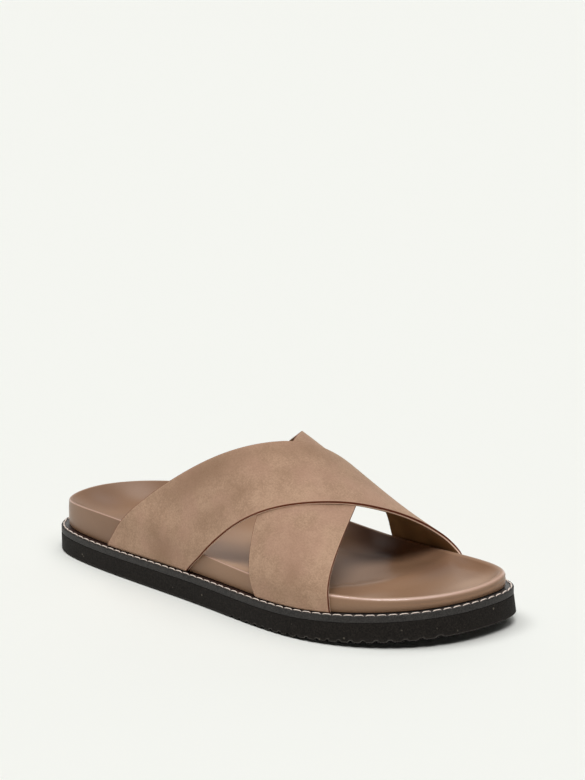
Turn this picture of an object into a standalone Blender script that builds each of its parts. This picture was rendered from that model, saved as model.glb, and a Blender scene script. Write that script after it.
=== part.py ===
# Cross strap sandal for the right foot: a rubber outsole, a stitched welt strip,
# a moulded footbed and an upper of two wide straps that cross over the instep.
# Metres, +X to the toe, +Y to the inner side of the foot, +Z up. The sole stands on
# z = 0, and the origin is under the middle of the whole shoe's box.

import math
from collections import namedtuple

import bmesh
import bpy
import numpy as np

MM = 0.001
GAP = 0.3  # clearance between pieces that meet

# Sole, in millimetres
LENGTH = 290.0  # welt, heel end to toe end
HEEL_END_Y = 0.0  # where the outline crosses its own middle line at the heel
TOE_END_Y = 14.0  # and at the toe, which swings to the inner side
WELT_HEIGHT = 3.7
WELT_WIDTH = 13.0
WELT_EDGE = 0.6  # small round on the welt's top edge
TOE_SPRING = 5.6
SPRING_START_X = 45.0  # the sole is flat behind this line
SPRING_POWER = 1.5
TOE_FLARE = 1.5  # outsole wider than the welt at the toe
TREAD_INSET = 0.9  # the tread stands in from the outsole's side
TREAD_STEP = 0.5  # and this far below it
SIDE_EDGE = 0.4  # bevel on the side's lower edge
OUTLINE_POINTS = 72
FINE_OUTLINE_POINTS = 288  # where a width is read between the outline's points
SMOOTH_ANGLE = 35.0  # degrees; sharper edges stay crisp

# Tread grooves run across the sole
GROOVE_WIDTH = 2.4
GROOVE_DEPTH = 1.6
GROOVE_PITCH = 6.0
FOREFOOT_GROOVES = (20.0, 138.0)  # first and last, open at the sole's edge
HEEL_GROOVES = (-126.0, -84.0)  # first and last, closed short of the edge
HEEL_GROOVE_HALF = 23.0

# Footbed
WALL_INSET = 4.6  # width of the stitched ledge outside the footbed
SIDE_BLEND = 36.0  # width of the middle strip where heights pass from one side's to the other's
LIP_DROP = 0.4  # the rim's inner lip lies this far under its top
TOE_LIP_DROP = 1.2  # and this far at the toe, where the rim is a rolled bead
CUP_ROWS = (0.0, 2.6, 5.6, 9.6)  # rows of the cup, counted in from the lip
CUP_POWER = 2.2  # above 1, the cup is steeper near the rim
TOE_BAR_X = 94.0
TOE_BAR_HEIGHT = 1.8
TOE_BAR_LENGTH = 9.0
TOE_BAR_BEND = 0.0075  # how the bar curves back towards the outer side
BED_STEPS = 8  # points across the middle of the footbed

# Straps
STRAP_THICKNESS = 2.2
STRAP_OVERLAP = 0.3  # the over strap sinks this far into the under strap
WALL_SHARE = 0.12  # share of the girth that lies flat on the footbed's wall
ARCH_POWER = 1.9  # 2 is an ellipse
ARCH_BASE = 2.0  # the arch springs from this far under the rim
CREST_SOFTNESS = 0.02  # takes the kink out of the arch's top
LEAN_START = 0.25  # share of the arch's height over which its lean sets in
WALL_RUN = 13.0  # usual distance up the wall
ARCH_RUN = 200.0  # and over the arch
RAISE_FROM = 0.10  # the over strap starts to climb here along the girth
RAISE_FULL = 0.24
GIRTH_STEPS = 40
WIDTH_STEPS = 7

# Half widths of the sole against the turn from the heel end, 0, to the toe end, 180 degrees.
# A point lies at x = -half length x cos(turn), so both ends come out round.
HalfWidth = namedtuple("HalfWidth", "turn outer inner")
SOLE_OUTLINE = (
    HalfWidth(turn=18, outer=21.0, inner=20.0),
    HalfWidth(turn=36, outer=33.0, inner=33.5),
    HalfWidth(turn=63, outer=44.0, inner=37.0),
    HalfWidth(turn=90, outer=55.0, inner=36.5),
    HalfWidth(turn=117, outer=64.5, inner=46.5),
    HalfWidth(turn=144, outer=45.5, inner=43.5),
    HalfWidth(turn=162, outer=18.5, inner=33.0),
)

# Heights above the floor, widths of the cup and round of the rim's shoulder, along the sole.
# The rim is higher at the inner arch.
Section = namedtuple("Section", "x ledge bed rim_outer rim_inner cup_outer cup_inner round")
SECTIONS = (
    Section(-145, ledge=14.4, bed=22.0, rim_outer=28.7, rim_inner=29.3, cup_outer=24, cup_inner=24, round=0.9),
    Section(-95, ledge=14.0, bed=20.5, rim_outer=31.2, rim_inner=35.3, cup_outer=26, cup_inner=28, round=0.8),
    Section(-20, ledge=14.8, bed=24.5, rim_outer=28.2, rim_inner=40.3, cup_outer=20, cup_inner=34, round=0.8),
    Section(25, ledge=14.8, bed=22.8, rim_outer=26.2, rim_inner=33.8, cup_outer=15, cup_inner=24, round=0.9),
    Section(60, ledge=15.0, bed=21.0, rim_outer=26.0, rim_inner=28.0, cup_outer=12, cup_inner=16, round=1.5),
    Section(105, ledge=17.3, bed=21.6, rim_outer=25.5, rim_inner=26.5, cup_outer=8, cup_inner=9, round=2.0),
    Section(145, ledge=20.2, bed=24.0, rim_outer=26.5, rim_inner=28.5, cup_outer=7, cup_inner=7, round=2.2),
)

# Crest of the instep under the straps: its height, and how far it leans to the inner side.
Crest = namedtuple("Crest", "x height lean")
INSTEP = (
    Crest(x=-70, height=102.6, lean=15.7),
    Crest(x=-35, height=101.5, lean=16.5),
    Crest(x=0, height=94.9, lean=10.0),
    Crest(x=35, height=78.3, lean=6.8),
    Crest(x=70, height=57.0, lean=1.3),
    Crest(x=105, height=35.7, lean=-2.5),
)

# Where each strap's edges lie, in x, along the girth from the outer ledge, 0, to the inner, 1.
StrapEdges = namedtuple("StrapEdges", "girth over_rear over_front under_rear under_front")
STRAP_EDGES = (
    StrapEdges(girth=0.00, over_rear=-88.5, over_front=-21.0, under_rear=36.5, under_front=85.5),
    StrapEdges(girth=0.07, over_rear=-82.5, over_front=-15.0, under_rear=33.5, under_front=85.0),
    StrapEdges(girth=0.14, over_rear=-73.0, over_front=-5.5, under_rear=31.0, under_front=84.5),
    StrapEdges(girth=0.22, over_rear=-46.5, over_front=16.0, under_rear=27.5, under_front=82.5),
    StrapEdges(girth=0.34, over_rear=-4.5, over_front=45.0, under_rear=25.5, under_front=77.0),
    StrapEdges(girth=0.50, over_rear=24.0, over_front=67.5, under_rear=16.5, under_front=64.5),
    StrapEdges(girth=0.64, over_rear=36.5, over_front=79.0, under_rear=5.0, under_front=48.0),
    StrapEdges(girth=0.78, over_rear=48.0, over_front=89.5, under_rear=-25.0, under_front=23.5),
    StrapEdges(girth=0.90, over_rear=53.5, over_front=97.5, under_rear=-46.0, under_front=7.0),
    StrapEdges(girth=1.00, over_rear=57.0, over_front=97.5, under_rear=-56.0, under_front=-0.5),
)


def column(table, name):
    return np.array([getattr(row, name) for row in table], float)


def spline(at, knots, values, period=None):
    """Cubic spline through the knots, natural at its ends, or closed where a period is given."""
    at = np.asarray(at, float)
    if period is not None:
        knots = np.append(knots, knots[0] + period)
        values = np.append(values, values[0])
        at = (at - knots[0]) % period + knots[0]
    step = np.diff(knots)
    slope = np.diff(values) / step
    count = len(knots)
    system = np.zeros((count, count))
    known = np.zeros(count)
    for k in range(1, count - 1):
        system[k, k - 1] = step[k - 1]
        system[k, k] = 2 * (step[k - 1] + step[k])
        system[k, k + 1] = step[k]
        known[k] = 6 * (slope[k] - slope[k - 1])
    if period is None:
        system[0, 0] = 1
        system[-1, -1] = 1
    else:
        system[0, 0] = 2 * (step[0] + step[-1])
        system[0, 1] = step[0]
        system[0, -2] = step[-1]
        known[0] = 6 * (slope[0] - slope[-1])
        system[-1, 0] = 1
        system[-1, -1] = -1
    bend = np.linalg.solve(system, known)
    k = np.clip(np.searchsorted(knots, at, side="right") - 1, 0, count - 2)
    width = step[k]
    left = knots[k + 1] - at
    right = at - knots[k]
    return (
        bend[k] * left ** 3 / (6 * width)
        + bend[k + 1] * right ** 3 / (6 * width)
        + (values[k] / width - bend[k] * width / 6) * left
        + (values[k + 1] / width - bend[k + 1] * width / 6) * right
    )


def smooth_step(t):
    t = np.clip(t, 0, 1)
    return t * t * (3 - 2 * t)


def outline(inset, count=OUTLINE_POINTS):
    """Outline of the welt, moved inwards by inset: from the heel end along the outer side."""
    turns = np.radians(column(SOLE_OUTLINE, "turn"))
    knots = np.concatenate(([0], turns, [math.pi], 2 * math.pi - turns[::-1]))
    widths = np.concatenate((
        [HEEL_END_Y],
        -column(SOLE_OUTLINE, "outer"),
        [TOE_END_Y],
        column(SOLE_OUTLINE, "inner")[::-1],
    ))
    turn = np.arange(count) * 2 * math.pi / count
    points = np.column_stack((
        -LENGTH / 2 * np.cos(turn),
        spline(turn, knots, widths, period=2 * math.pi),
    ))
    along = np.roll(points, -1, axis=0) - np.roll(points, 1, axis=0)
    along /= np.linalg.norm(along, axis=1)[:, None]
    inward = np.column_stack((-along[:, 1], along[:, 0]))
    return points + inward * np.reshape(inset, (-1, 1))


def toe_share(x):
    """0 up to the line where the toe spring starts, 1 at the toe end."""
    return np.clip((x - SPRING_START_X) / (LENGTH / 2 - SPRING_START_X), 0, 1)


def toe_rise(x):
    """Toe spring: the underside climbs as spring x share^power towards the toe."""
    return TOE_SPRING * toe_share(x) ** SPRING_POWER


def height(name, x):
    return spline(x, column(SECTIONS, "x"), column(SECTIONS, name))


def side_blend(points):
    """0 on the outer side of the sole, 1 on the inner side, smooth round both ends."""
    half = len(points) // 2
    middle = np.interp(
        points[:, 0],
        points[: half + 1, 0],
        (points[: half + 1, 1] + np.concatenate((points[:1, 1], points[half:, 1][::-1]))) / 2,
    )
    return smooth_step((points[:, 1] - middle) / SIDE_BLEND + 0.5)


def rim_height(points):
    inner = side_blend(points)
    x = points[:, 0]
    return height("rim_outer", x) * (1 - inner) + height("rim_inner", x) * inner


def cup_width(points):
    inner = side_blend(points)
    x = points[:, 0]
    return height("cup_outer", x) * (1 - inner) + height("cup_inner", x) * inner


def bed_height(x, y):
    """Lowest line of the footbed, with the soft bar that the toes hold."""
    back = TOE_BAR_BEND * np.minimum(y - TOE_END_Y, 0) ** 2
    bar = (x - TOE_BAR_X + back) / TOE_BAR_LENGTH
    return height("bed", x) + TOE_BAR_HEIGHT * np.exp(-bar ** 2)


def lip_height(lip):
    drop = LIP_DROP + (TOE_LIP_DROP - LIP_DROP) * toe_share(lip[:, 0])
    return rim_height(lip) - drop


def footbed_height(x, y, lip):
    """Top of the footbed: from the bed up to the inner lip of the rim, steeper near it."""
    to_lip = np.hypot(x[..., None] - lip[:, 0], y[..., None] - lip[:, 1])
    nearest = to_lip.argmin(axis=-1)
    away = to_lip.min(axis=-1)
    share = np.clip(1 - away / cup_width(lip)[nearest], 0, 1)
    bed = bed_height(x, y)
    return bed + (lip_height(lip)[nearest] - bed) * share ** CUP_POWER


def girth_run(girth):
    """Usual distance along the girth, along which the straps' edges run evenly."""
    shares = (0, WALL_SHARE, 1 - WALL_SHARE, 1)
    return np.interp(girth, shares, (0, WALL_RUN, WALL_RUN + ARCH_RUN, 2 * WALL_RUN + ARCH_RUN))


def girth_point(x, girth):
    """Point on the outside of the under strap: up the footbed's wall, over the instep as a
    leaning half ellipse, and down the inner wall."""
    ledge_outline = outline(WALL_INSET - GAP - STRAP_THICKNESS, FINE_OUTLINE_POINTS)
    half = len(ledge_outline) // 2
    outer_y = np.interp(x, ledge_outline[: half + 1, 0], ledge_outline[: half + 1, 1])
    inner_y = np.interp(x, ledge_outline[half:, 0][::-1], ledge_outline[half:, 1][::-1])
    floor_z = height("ledge", x) + GAP
    outer_z = height("rim_outer", x) - ARCH_BASE
    inner_z = height("rim_inner", x) - ARCH_BASE
    swing = np.pi * np.clip((girth - WALL_SHARE) / (1 - 2 * WALL_SHARE), 0, 1)
    cosine = np.cos(swing)
    across = cosine * (cosine ** 2 + CREST_SOFTNESS) ** (1 / ARCH_POWER - 0.5)
    across /= (1 + CREST_SOFTNESS) ** (1 / ARCH_POWER - 0.5)
    up = np.abs(np.sin(swing)) ** (2 / ARCH_POWER)
    lean = spline(x, column(INSTEP, "x"), column(INSTEP, "lean"))
    crest = spline(x, column(INSTEP, "x"), column(INSTEP, "height"))
    lean = lean * smooth_step(up / LEAN_START)
    y = (outer_y + inner_y) / 2 - (inner_y - outer_y) / 2 * across + lean * up
    base = outer_z + (inner_z - outer_z) * (1 - cosine) / 2
    z = base + (crest - base) * up
    z = np.where(girth < WALL_SHARE, floor_z + (outer_z - floor_z) * girth / WALL_SHARE, z)
    z = np.where(girth > 1 - WALL_SHARE, floor_z + (inner_z - floor_z) * (1 - girth) / WALL_SHARE, z)
    return np.stack((x, y, z), axis=-1)


def strap_sheet(strap, lift):
    """Outside of one strap as a grid, lifted off the instep where the straps cross."""
    girth = np.linspace(0, 1, GIRTH_STEPS + 1)
    knots = girth_run(column(STRAP_EDGES, "girth"))
    rear = spline(girth_run(girth), knots, column(STRAP_EDGES, strap + "_rear"))[:, None]
    front = spline(girth_run(girth), knots, column(STRAP_EDGES, strap + "_front"))[:, None]
    x = rear + (front - rear) * np.linspace(0, 1, WIDTH_STEPS + 1)
    girth = np.broadcast_to(girth[:, None], x.shape)
    sheet = girth_point(x, girth)
    along = np.gradient(sheet, axis=0)
    across = np.gradient(sheet, axis=1)
    outward = np.cross(across, along)
    outward /= np.linalg.norm(outward, axis=-1)[..., None]
    climb = smooth_step((np.minimum(girth, 1 - girth) - RAISE_FROM) / (RAISE_FULL - RAISE_FROM))
    return sheet + outward * (lift * climb)[..., None]


def new_material(name, colour, roughness):
    material = bpy.data.materials.new(name)
    material.use_nodes = True
    shader = material.node_tree.nodes["Principled BSDF"]
    shader.inputs["Base Color"].default_value = (*colour, 1.0)
    shader.inputs["Roughness"].default_value = roughness
    shader.inputs["Metallic"].default_value = 0.0
    material.diffuse_color = (*colour, 1.0)
    return material


def new_object(name, points, faces, material=None):
    """Object from points in millimetres, moved so that the shoe's box is centred."""
    mesh = bpy.data.meshes.new(name)
    mesh.from_pydata(((np.reshape(points, (-1, 3)) - BOX_CENTRE) * MM).tolist(), [], faces)
    mesh.update()
    mesh.shade_smooth()
    mesh.set_sharp_from_angle(angle=math.radians(SMOOTH_ANGLE))
    piece = bpy.data.objects.new(name, mesh)
    bpy.context.scene.collection.objects.link(piece)
    if material is not None:
        mesh.materials.append(material)
    return piece


def ring(inset, z):
    """One row of a loft: the outline at an inset, at a height or a height for each point."""
    points = outline(inset)
    return np.column_stack((points, np.broadcast_to(z, len(points))))


def band_faces(first, second, count):
    """Quads between two rows of count points, first below second on an outer wall."""
    return [
        (first + k, first + (k + 1) % count, second + (k + 1) % count, second + k)
        for k in range(count)
    ]


def ladder_faces(start, count, upward):
    """Cap of an outline row: rungs from its outer side to its inner side."""
    faces = [(0, 1, count - 1)]
    faces += [(k, k + 1, count - k - 1, count - k) for k in range(1, count // 2 - 1)]
    faces += [(count // 2 - 1, count // 2, count // 2 + 1)]
    faces = [tuple(start + corner for corner in face) for face in faces]
    return faces if upward else [face[::-1] for face in faces]


def tread_cutter():
    """Bars that cut the grooves, tilted with the toe spring."""
    bars = bmesh.new()
    rows = [(x, LENGTH) for x in np.arange(FOREFOOT_GROOVES[0], FOREFOOT_GROOVES[1], GROOVE_PITCH)]
    rows += [
        (x, 2 * HEEL_GROOVE_HALF)
        for x in np.arange(HEEL_GROOVES[0], HEEL_GROOVES[1], GROOVE_PITCH)
    ]
    for x, length in rows:
        cube = bmesh.ops.create_cube(bars, size=1.0)["verts"]
        bmesh.ops.scale(bars, vec=(GROOVE_WIDTH, length, 2 * GROOVE_DEPTH), verts=cube)
        bmesh.ops.translate(bars, vec=(x, 0, toe_rise(x)), verts=cube)
    points = np.array([vert.co[:] for vert in bars.verts])
    faces = [tuple(vert.index for vert in face.verts) for face in bars.faces]
    bars.free()
    cutter = new_object("tread_cutter", points, faces)
    cutter.hide_render = True
    cutter.display_type = "WIRE"
    return cutter


def build_outsole(material):
    x = outline(0)[:, 0]
    rise = toe_rise(x)
    flare = TOE_FLARE * toe_share(x)
    top = height("ledge", x) - WELT_HEIGHT - GAP
    rows = (
        ring(TREAD_INSET - flare, rise),
        ring(TREAD_INSET - flare, rise + TREAD_STEP),
        ring(SIDE_EDGE - flare, rise + TREAD_STEP),
        ring(-flare, rise + TREAD_STEP + SIDE_EDGE),
        ring(0, top),
    )
    count = OUTLINE_POINTS
    faces = ladder_faces(0, count, upward=False)
    for k in range(len(rows) - 1):
        faces += band_faces(k * count, (k + 1) * count, count)
    faces += ladder_faces((len(rows) - 1) * count, count, upward=True)
    outsole = new_object("outsole", np.vstack(rows), faces, material)
    grooves = outsole.modifiers.new("tread", "BOOLEAN")
    grooves.operation = "DIFFERENCE"
    grooves.solver = "EXACT"
    grooves.object = tread_cutter()
    return outsole


def build_welt(material):
    x = outline(0)[:, 0]
    ledge = height("ledge", x)
    inner_x = outline(WELT_WIDTH)[:, 0]
    inner_ledge = height("ledge", inner_x)
    rows = (
        ring(WELT_WIDTH, inner_ledge - WELT_HEIGHT),
        ring(0, ledge - WELT_HEIGHT),
        ring(0, ledge - WELT_EDGE),
        ring(WELT_EDGE, ledge),
        ring(WELT_WIDTH, inner_ledge),
    )
    count = OUTLINE_POINTS
    faces = []
    for k in range(len(rows)):
        faces += band_faces(k * count, (k + 1) % len(rows) * count, count)
    return new_object("welt", np.vstack(rows), faces, material)


def build_footbed(material):
    core = outline(WELT_WIDTH + GAP)
    wall = outline(WALL_INSET)
    ledge = height("ledge", wall[:, 0])
    rim = rim_height(wall)
    rim_round = height("round", wall[:, 0])
    lip_inset = WALL_INSET + 2 * rim_round
    lip = outline(lip_inset)
    round_off = rim_round * (1 - math.sqrt(0.5))
    rows = [
        ring(WELT_WIDTH + GAP, height("ledge", core[:, 0]) - WELT_HEIGHT),
        ring(WELT_WIDTH + GAP, height("ledge", core[:, 0]) + GAP),
        ring(WALL_INSET, ledge + GAP),
        ring(WALL_INSET, rim - rim_round),
        ring(WALL_INSET + round_off, rim - round_off),
        ring(WALL_INSET + rim_round, rim),
    ]
    for inset in CUP_ROWS:
        points = outline(lip_inset + inset)
        rows.append(ring(lip_inset + inset, footbed_height(points[:, 0], points[:, 1], lip)))
    count = OUTLINE_POINTS
    faces = ladder_faces(0, count, upward=False)
    for k in range(len(rows) - 1):
        faces += band_faces(k * count, (k + 1) * count, count)
    last = rows[-1]
    start = (len(rows) - 1) * count
    extra, grid_faces = bed_grid(last, lip, start, len(rows) * count)
    return new_object("footbed", np.vstack(rows + [extra]), faces + grid_faces, material)


def bed_grid(row, lip, start, free):
    """Fills the innermost row, whose points start at start, with rungs of points that lie on
    the footbed's top and are numbered from free."""
    count = len(row)
    half = count // 2
    share = np.linspace(0, 1, BED_STEPS + 1)[1:-1, None]
    points = []
    rungs = [[start] * (BED_STEPS + 1)]
    for k in range(1, half):
        outer = row[k]
        inner = row[count - k]
        rung = outer[:2] + (inner[:2] - outer[:2]) * share
        points.append(np.column_stack((rung, footbed_height(rung[:, 0], rung[:, 1], lip))))
        first = free + (k - 1) * (BED_STEPS - 1)
        rungs.append([start + k, *range(first, first + BED_STEPS - 1), start + count - k])
    rungs.append([start + half] * (BED_STEPS + 1))
    faces = []
    for rear, front in zip(rungs[:-1], rungs[1:]):
        for k in range(BED_STEPS):
            corners = (rear[k], front[k], front[k + 1], rear[k + 1])
            faces.append(tuple(dict.fromkeys(corners)))
    return np.vstack(points), faces


def sheet_object(name, sheet, material=None):
    """One strap: the grid of its outside, thickened inwards."""
    rows, columns = sheet.shape[:2]
    faces = [
        (r * columns + c, r * columns + c + 1, (r + 1) * columns + c + 1, (r + 1) * columns + c)
        for r in range(rows - 1)
        for c in range(columns - 1)
    ]
    strap = new_object(name, sheet, faces, material)
    wall = strap.modifiers.new("leather", "SOLIDIFY")
    wall.thickness = STRAP_THICKNESS * MM
    wall.offset = -1.0
    wall.use_even_offset = True
    return strap


def build_upper(material):
    """Both straps as one piece, joined where they cross."""
    under = sheet_object("under_strap_form", strap_sheet("under", 0.0))
    under.hide_render = True
    under.display_type = "WIRE"
    upper = sheet_object("upper", strap_sheet("over", STRAP_THICKNESS - STRAP_OVERLAP), material)
    join = upper.modifiers.new("crossing", "BOOLEAN")
    join.operation = "UNION"
    join.solver = "EXACT"
    join.object = under
    return upper


def box_centre():
    """Middle of the sole seen from above, so that the origin lies under the shoe's middle."""
    x = outline(0)[:, 0]
    flare = TOE_FLARE * toe_share(x)
    foot = outline(-flare)
    middle = (foot.min(axis=0) + foot.max(axis=0)) / 2
    return np.array((middle[0], middle[1], 0.0))


for old in list(bpy.data.objects):
    bpy.data.objects.remove(old, do_unlink=True)

BOX_CENTRE = box_centre()
build_outsole(new_material("black_rubber", (0.020, 0.018, 0.016), 0.75))
build_welt(new_material("grey_rubber", (0.055, 0.053, 0.050), 0.60))
build_footbed(new_material("footbed_leather", (0.300, 0.200, 0.145), 0.45))
build_upper(new_material("strap_nubuck", (0.370, 0.245, 0.165), 0.85))
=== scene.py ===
# Looks of the cross strap sandal, a right one: nubuck straps with cut edges, a leather footbed,
# a stitched welt strip and a ribbed rubber outsole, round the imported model.
# The form functions repeat the model's own sizes, in millimetres, and every piece is worked out
# from them on a finer grid. Objects are in metres: +X to the toe, +Y to the inner side, +Z up.

import math
from collections import namedtuple

import bpy
import numpy as np
from mathutils import Matrix, Vector


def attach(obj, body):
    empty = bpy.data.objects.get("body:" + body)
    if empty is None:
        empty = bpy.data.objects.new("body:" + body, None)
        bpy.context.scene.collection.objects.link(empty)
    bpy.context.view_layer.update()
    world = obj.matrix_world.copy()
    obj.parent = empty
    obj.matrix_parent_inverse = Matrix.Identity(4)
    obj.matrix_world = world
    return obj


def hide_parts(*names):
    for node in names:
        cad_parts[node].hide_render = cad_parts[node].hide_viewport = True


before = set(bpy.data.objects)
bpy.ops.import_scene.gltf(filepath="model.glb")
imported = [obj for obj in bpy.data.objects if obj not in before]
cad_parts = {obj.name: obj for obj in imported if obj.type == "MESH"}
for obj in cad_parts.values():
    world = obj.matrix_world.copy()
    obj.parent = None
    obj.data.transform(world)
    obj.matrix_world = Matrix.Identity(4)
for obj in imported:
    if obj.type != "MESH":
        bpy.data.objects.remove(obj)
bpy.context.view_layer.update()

MM = 0.001
GAP = 0.3  # clearance between pieces that meet, as in the model

# Sole, as in the model
LENGTH = 290.0
HEEL_END_Y = 0.0
TOE_END_Y = 14.0
WELT_HEIGHT = 3.7
WELT_WIDTH = 13.0
WELT_EDGE = 0.6
TOE_SPRING = 5.6
SPRING_START_X = 45.0
SPRING_POWER = 1.5
TOE_FLARE = 1.5
TREAD_INSET = 0.9
TREAD_STEP = 0.5
SIDE_EDGE = 0.4
GROOVE_WIDTH = 2.4
GROOVE_DEPTH = 1.6
GROOVE_PITCH = 6.0
FOREFOOT_GROOVES = (20.0, 138.0)
HEEL_GROOVES = (-126.0, -84.0)
HEEL_GROOVE_HALF = 23.0

# Footbed, as in the model
WALL_INSET = 4.6
SIDE_BLEND = 36.0
LIP_DROP = 0.4
TOE_LIP_DROP = 1.2
CUP_POWER = 2.2
TOE_BAR_X = 94.0
TOE_BAR_HEIGHT = 1.8
TOE_BAR_LENGTH = 9.0
TOE_BAR_BEND = 0.0075

# Straps, as in the model
STRAP_THICKNESS = 2.2
STRAP_OVERLAP = 0.3
WALL_SHARE = 0.12
ARCH_POWER = 1.9
ARCH_BASE = 2.0
CREST_SOFTNESS = 0.02
LEAN_START = 0.25
WALL_RUN = 13.0
ARCH_RUN = 200.0
RAISE_FROM = 0.10
RAISE_FULL = 0.24

# Half widths of the sole against the turn from the heel end, 0, to the toe end, 180 degrees
HalfWidth = namedtuple("HalfWidth", "turn outer inner")
SOLE_OUTLINE = (
    HalfWidth(turn=18, outer=21.0, inner=20.0),
    HalfWidth(turn=36, outer=33.0, inner=33.5),
    HalfWidth(turn=63, outer=44.0, inner=37.0),
    HalfWidth(turn=90, outer=55.0, inner=36.5),
    HalfWidth(turn=117, outer=64.5, inner=46.5),
    HalfWidth(turn=144, outer=45.5, inner=43.5),
    HalfWidth(turn=162, outer=18.5, inner=33.0),
)

# Heights above the floor, widths of the cup and round of the rim's shoulder, along the sole
Section = namedtuple("Section", "x ledge bed rim_outer rim_inner cup_outer cup_inner round")
SECTIONS = (
    Section(-145, ledge=14.4, bed=22, rim_outer=28.7, rim_inner=29.3, cup_outer=24, cup_inner=24, round=0.9),
    Section(-95, ledge=14, bed=20.5, rim_outer=31.2, rim_inner=35.3, cup_outer=26, cup_inner=28, round=0.8),
    Section(-20, ledge=14.8, bed=24.5, rim_outer=28.2, rim_inner=40.3, cup_outer=20, cup_inner=34, round=0.8),
    Section(25, ledge=14.8, bed=22.8, rim_outer=26.2, rim_inner=33.8, cup_outer=15, cup_inner=24, round=0.9),
    Section(60, ledge=15, bed=21, rim_outer=26, rim_inner=28, cup_outer=12, cup_inner=16, round=1.5),
    Section(105, ledge=17.3, bed=21.6, rim_outer=25.5, rim_inner=26.5, cup_outer=8, cup_inner=9, round=2),
    Section(145, ledge=20.2, bed=24, rim_outer=26.5, rim_inner=28.5, cup_outer=7, cup_inner=7, round=2.2),
)

# Crest of the instep under the straps: its height, and how far it leans to the inner side
Crest = namedtuple("Crest", "x height lean")
INSTEP = (
    Crest(x=-70, height=102.6, lean=15.7),
    Crest(x=-35, height=101.5, lean=16.5),
    Crest(x=0, height=94.9, lean=10.0),
    Crest(x=35, height=78.3, lean=6.8),
    Crest(x=70, height=57.0, lean=1.3),
    Crest(x=105, height=35.7, lean=-2.5),
)

# Where each strap's edges lie, in x, along the girth from the outer ledge, 0, to the inner, 1.
# Near the crest, the under strap's rear edge is up to 1.6 mm from the model's for a sharp peak.
Edges = namedtuple("Edges", "girth over_rear over_front under_rear under_front")
STRAP_EDGES = (
    Edges(girth=0.00, over_rear=-88.5, over_front=-21.0, under_rear=36.5, under_front=85.5),
    Edges(girth=0.07, over_rear=-82.5, over_front=-15.0, under_rear=33.5, under_front=85.0),
    Edges(girth=0.14, over_rear=-73.0, over_front=-5.5, under_rear=31.0, under_front=84.5),
    Edges(girth=0.22, over_rear=-46.5, over_front=16.0, under_rear=27.5, under_front=82.5),
    Edges(girth=0.34, over_rear=-4.5, over_front=45.0, under_rear=25.5, under_front=77.0),
    Edges(girth=0.50, over_rear=24.0, over_front=67.5, under_rear=17.9, under_front=64.5),
    Edges(girth=0.64, over_rear=36.5, over_front=79.0, under_rear=3.5, under_front=48.0),
    Edges(girth=0.78, over_rear=48.0, over_front=89.5, under_rear=-24.8, under_front=23.5),
    Edges(girth=0.90, over_rear=53.5, over_front=97.5, under_rear=-46.0, under_front=7.0),
    Edges(girth=1.00, over_rear=57.0, over_front=97.5, under_rear=-56.0, under_front=-0.5),
)

# Sizes that only the looks have: steps of the grids
ROUND_STEPS = 720  # points round the footbed
SOLE_ROUND_STEPS = 1200  # and round the outsole and the welt
SPINE_REAR_X = -108.0  # surfaces close along a line down the sole's middle
SPINE_FRONT_X = 118.0
TREAD_STEPS = 36
TREAD_SPREAD = 0.8  # a power that draws a grid's rings closer where the surface bends
SIDE_STEPS = 18
SIDE_SPREAD = 1.5
WALL_STEPS = 29
RIM_STEPS = 10
LIP_STEPS = 7
CUP_STEPS = 56
CUP_SPREAD = 1.4
CUP_LEAST_COSINE = 0.3  # how far a ring's way to the spine may turn from straight in
GIRTH_STEPS = 300
FACE_STEPS = 80
EDGE_STEPS = 9

# Outsole and welt
SOLE_JOINT = 0.05  # the outsole's top lies this far under the welt
SOLE_TOP_ROUND = 0.3
SIDE_SHARE = 0.94  # the outsole's side is ruled up to this share, and its top edge is round
EDGE_HIGHLIGHT_HEIGHT = 0.42  # the outsole's lower edge is painted paler, as a highlight, over this height
WELT_LOWER_EDGE = 0.25
FINE_LEDGE = (0.8, 2.8)  # the ledge's grid is finer between these insets
FOOT_SHADE_START = 0.35  # painted shade begins this far inside the stitches
FOOT_SHADE_FADE = 0.6
FOOT_SHADE_REAR_X = -138.0  # and fades at both ends of the shoe
FOOT_SHADE_REAR_FADE = 16.0
FOOT_SHADE_FRONT_X = 100.0
FOOT_SHADE_FRONT_FADE = 40.0

# Stitches
STITCH_PITCH = 5.85
STITCH_INSET = 1.35
STITCH_LENGTH = 5.0
STITCH_HALF_WIDTH = 0.44
STITCH_HALF_HEIGHT = 0.28
STITCH_RISE = 0.2
STITCH_SINK = 0.55
STITCH_SLANT = 0.14
STITCH_TAPER = 0.4
STITCH_STEPS = 12
STITCH_SIDES = 8
STITCH_TWIST = 1.3  # the thread's strands turn once in this length
TROUGH_DEPTH = 0.25
TROUGH_WIDTH = 0.6
HOLE_DEPTH = 0.7
HOLE_WIDTH = 0.45
HOLE_SHADE_WIDTH = 0.9  # half width of the painted shade round a hole

# Footbed
WALL_BULGE = 0.22
WALL_FOOT_ROUND = 0.5
CREST_TURN = 0.85  # the rim is polished, with a painted highlight, round this turn, in radians up from its wall
CREST_SPREAD = 0.4
TOE_CREASE_DROP = 3.2  # crease round the toe end of the footbed's wall, below its rim
TOE_CREASE_DEPTH = 0.2
TOE_CREASE_WIDTH = 0.7
TOE_CREASE_X = 104.0  # it sets in here and is full after its fade
TOE_CREASE_FADE = 26.0
WALL_PALE = 0.1  # painted light: the wall is a little paler, more so at the toe and between the straps
WALL_PALE_TOE = 0.12
WALL_PALE_TOE_X = 40.0
WALL_PALE_TOE_FADE = 70.0
WALL_PALE_WAIST = 0.15
WALL_PALE_WAIST_X = 2.0
WALL_PALE_WAIST_LENGTH = 26.0

# Straps
EDGE_ROUND = 0.3
FOLD_ENDS = 0.10  # folds fade out over this share of the girth at both ends
SKIVE_HEIGHT = 1.8  # the straps' ends are thinned over this height above the ledge
SKIVE_DEPTH = 1.1

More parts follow.
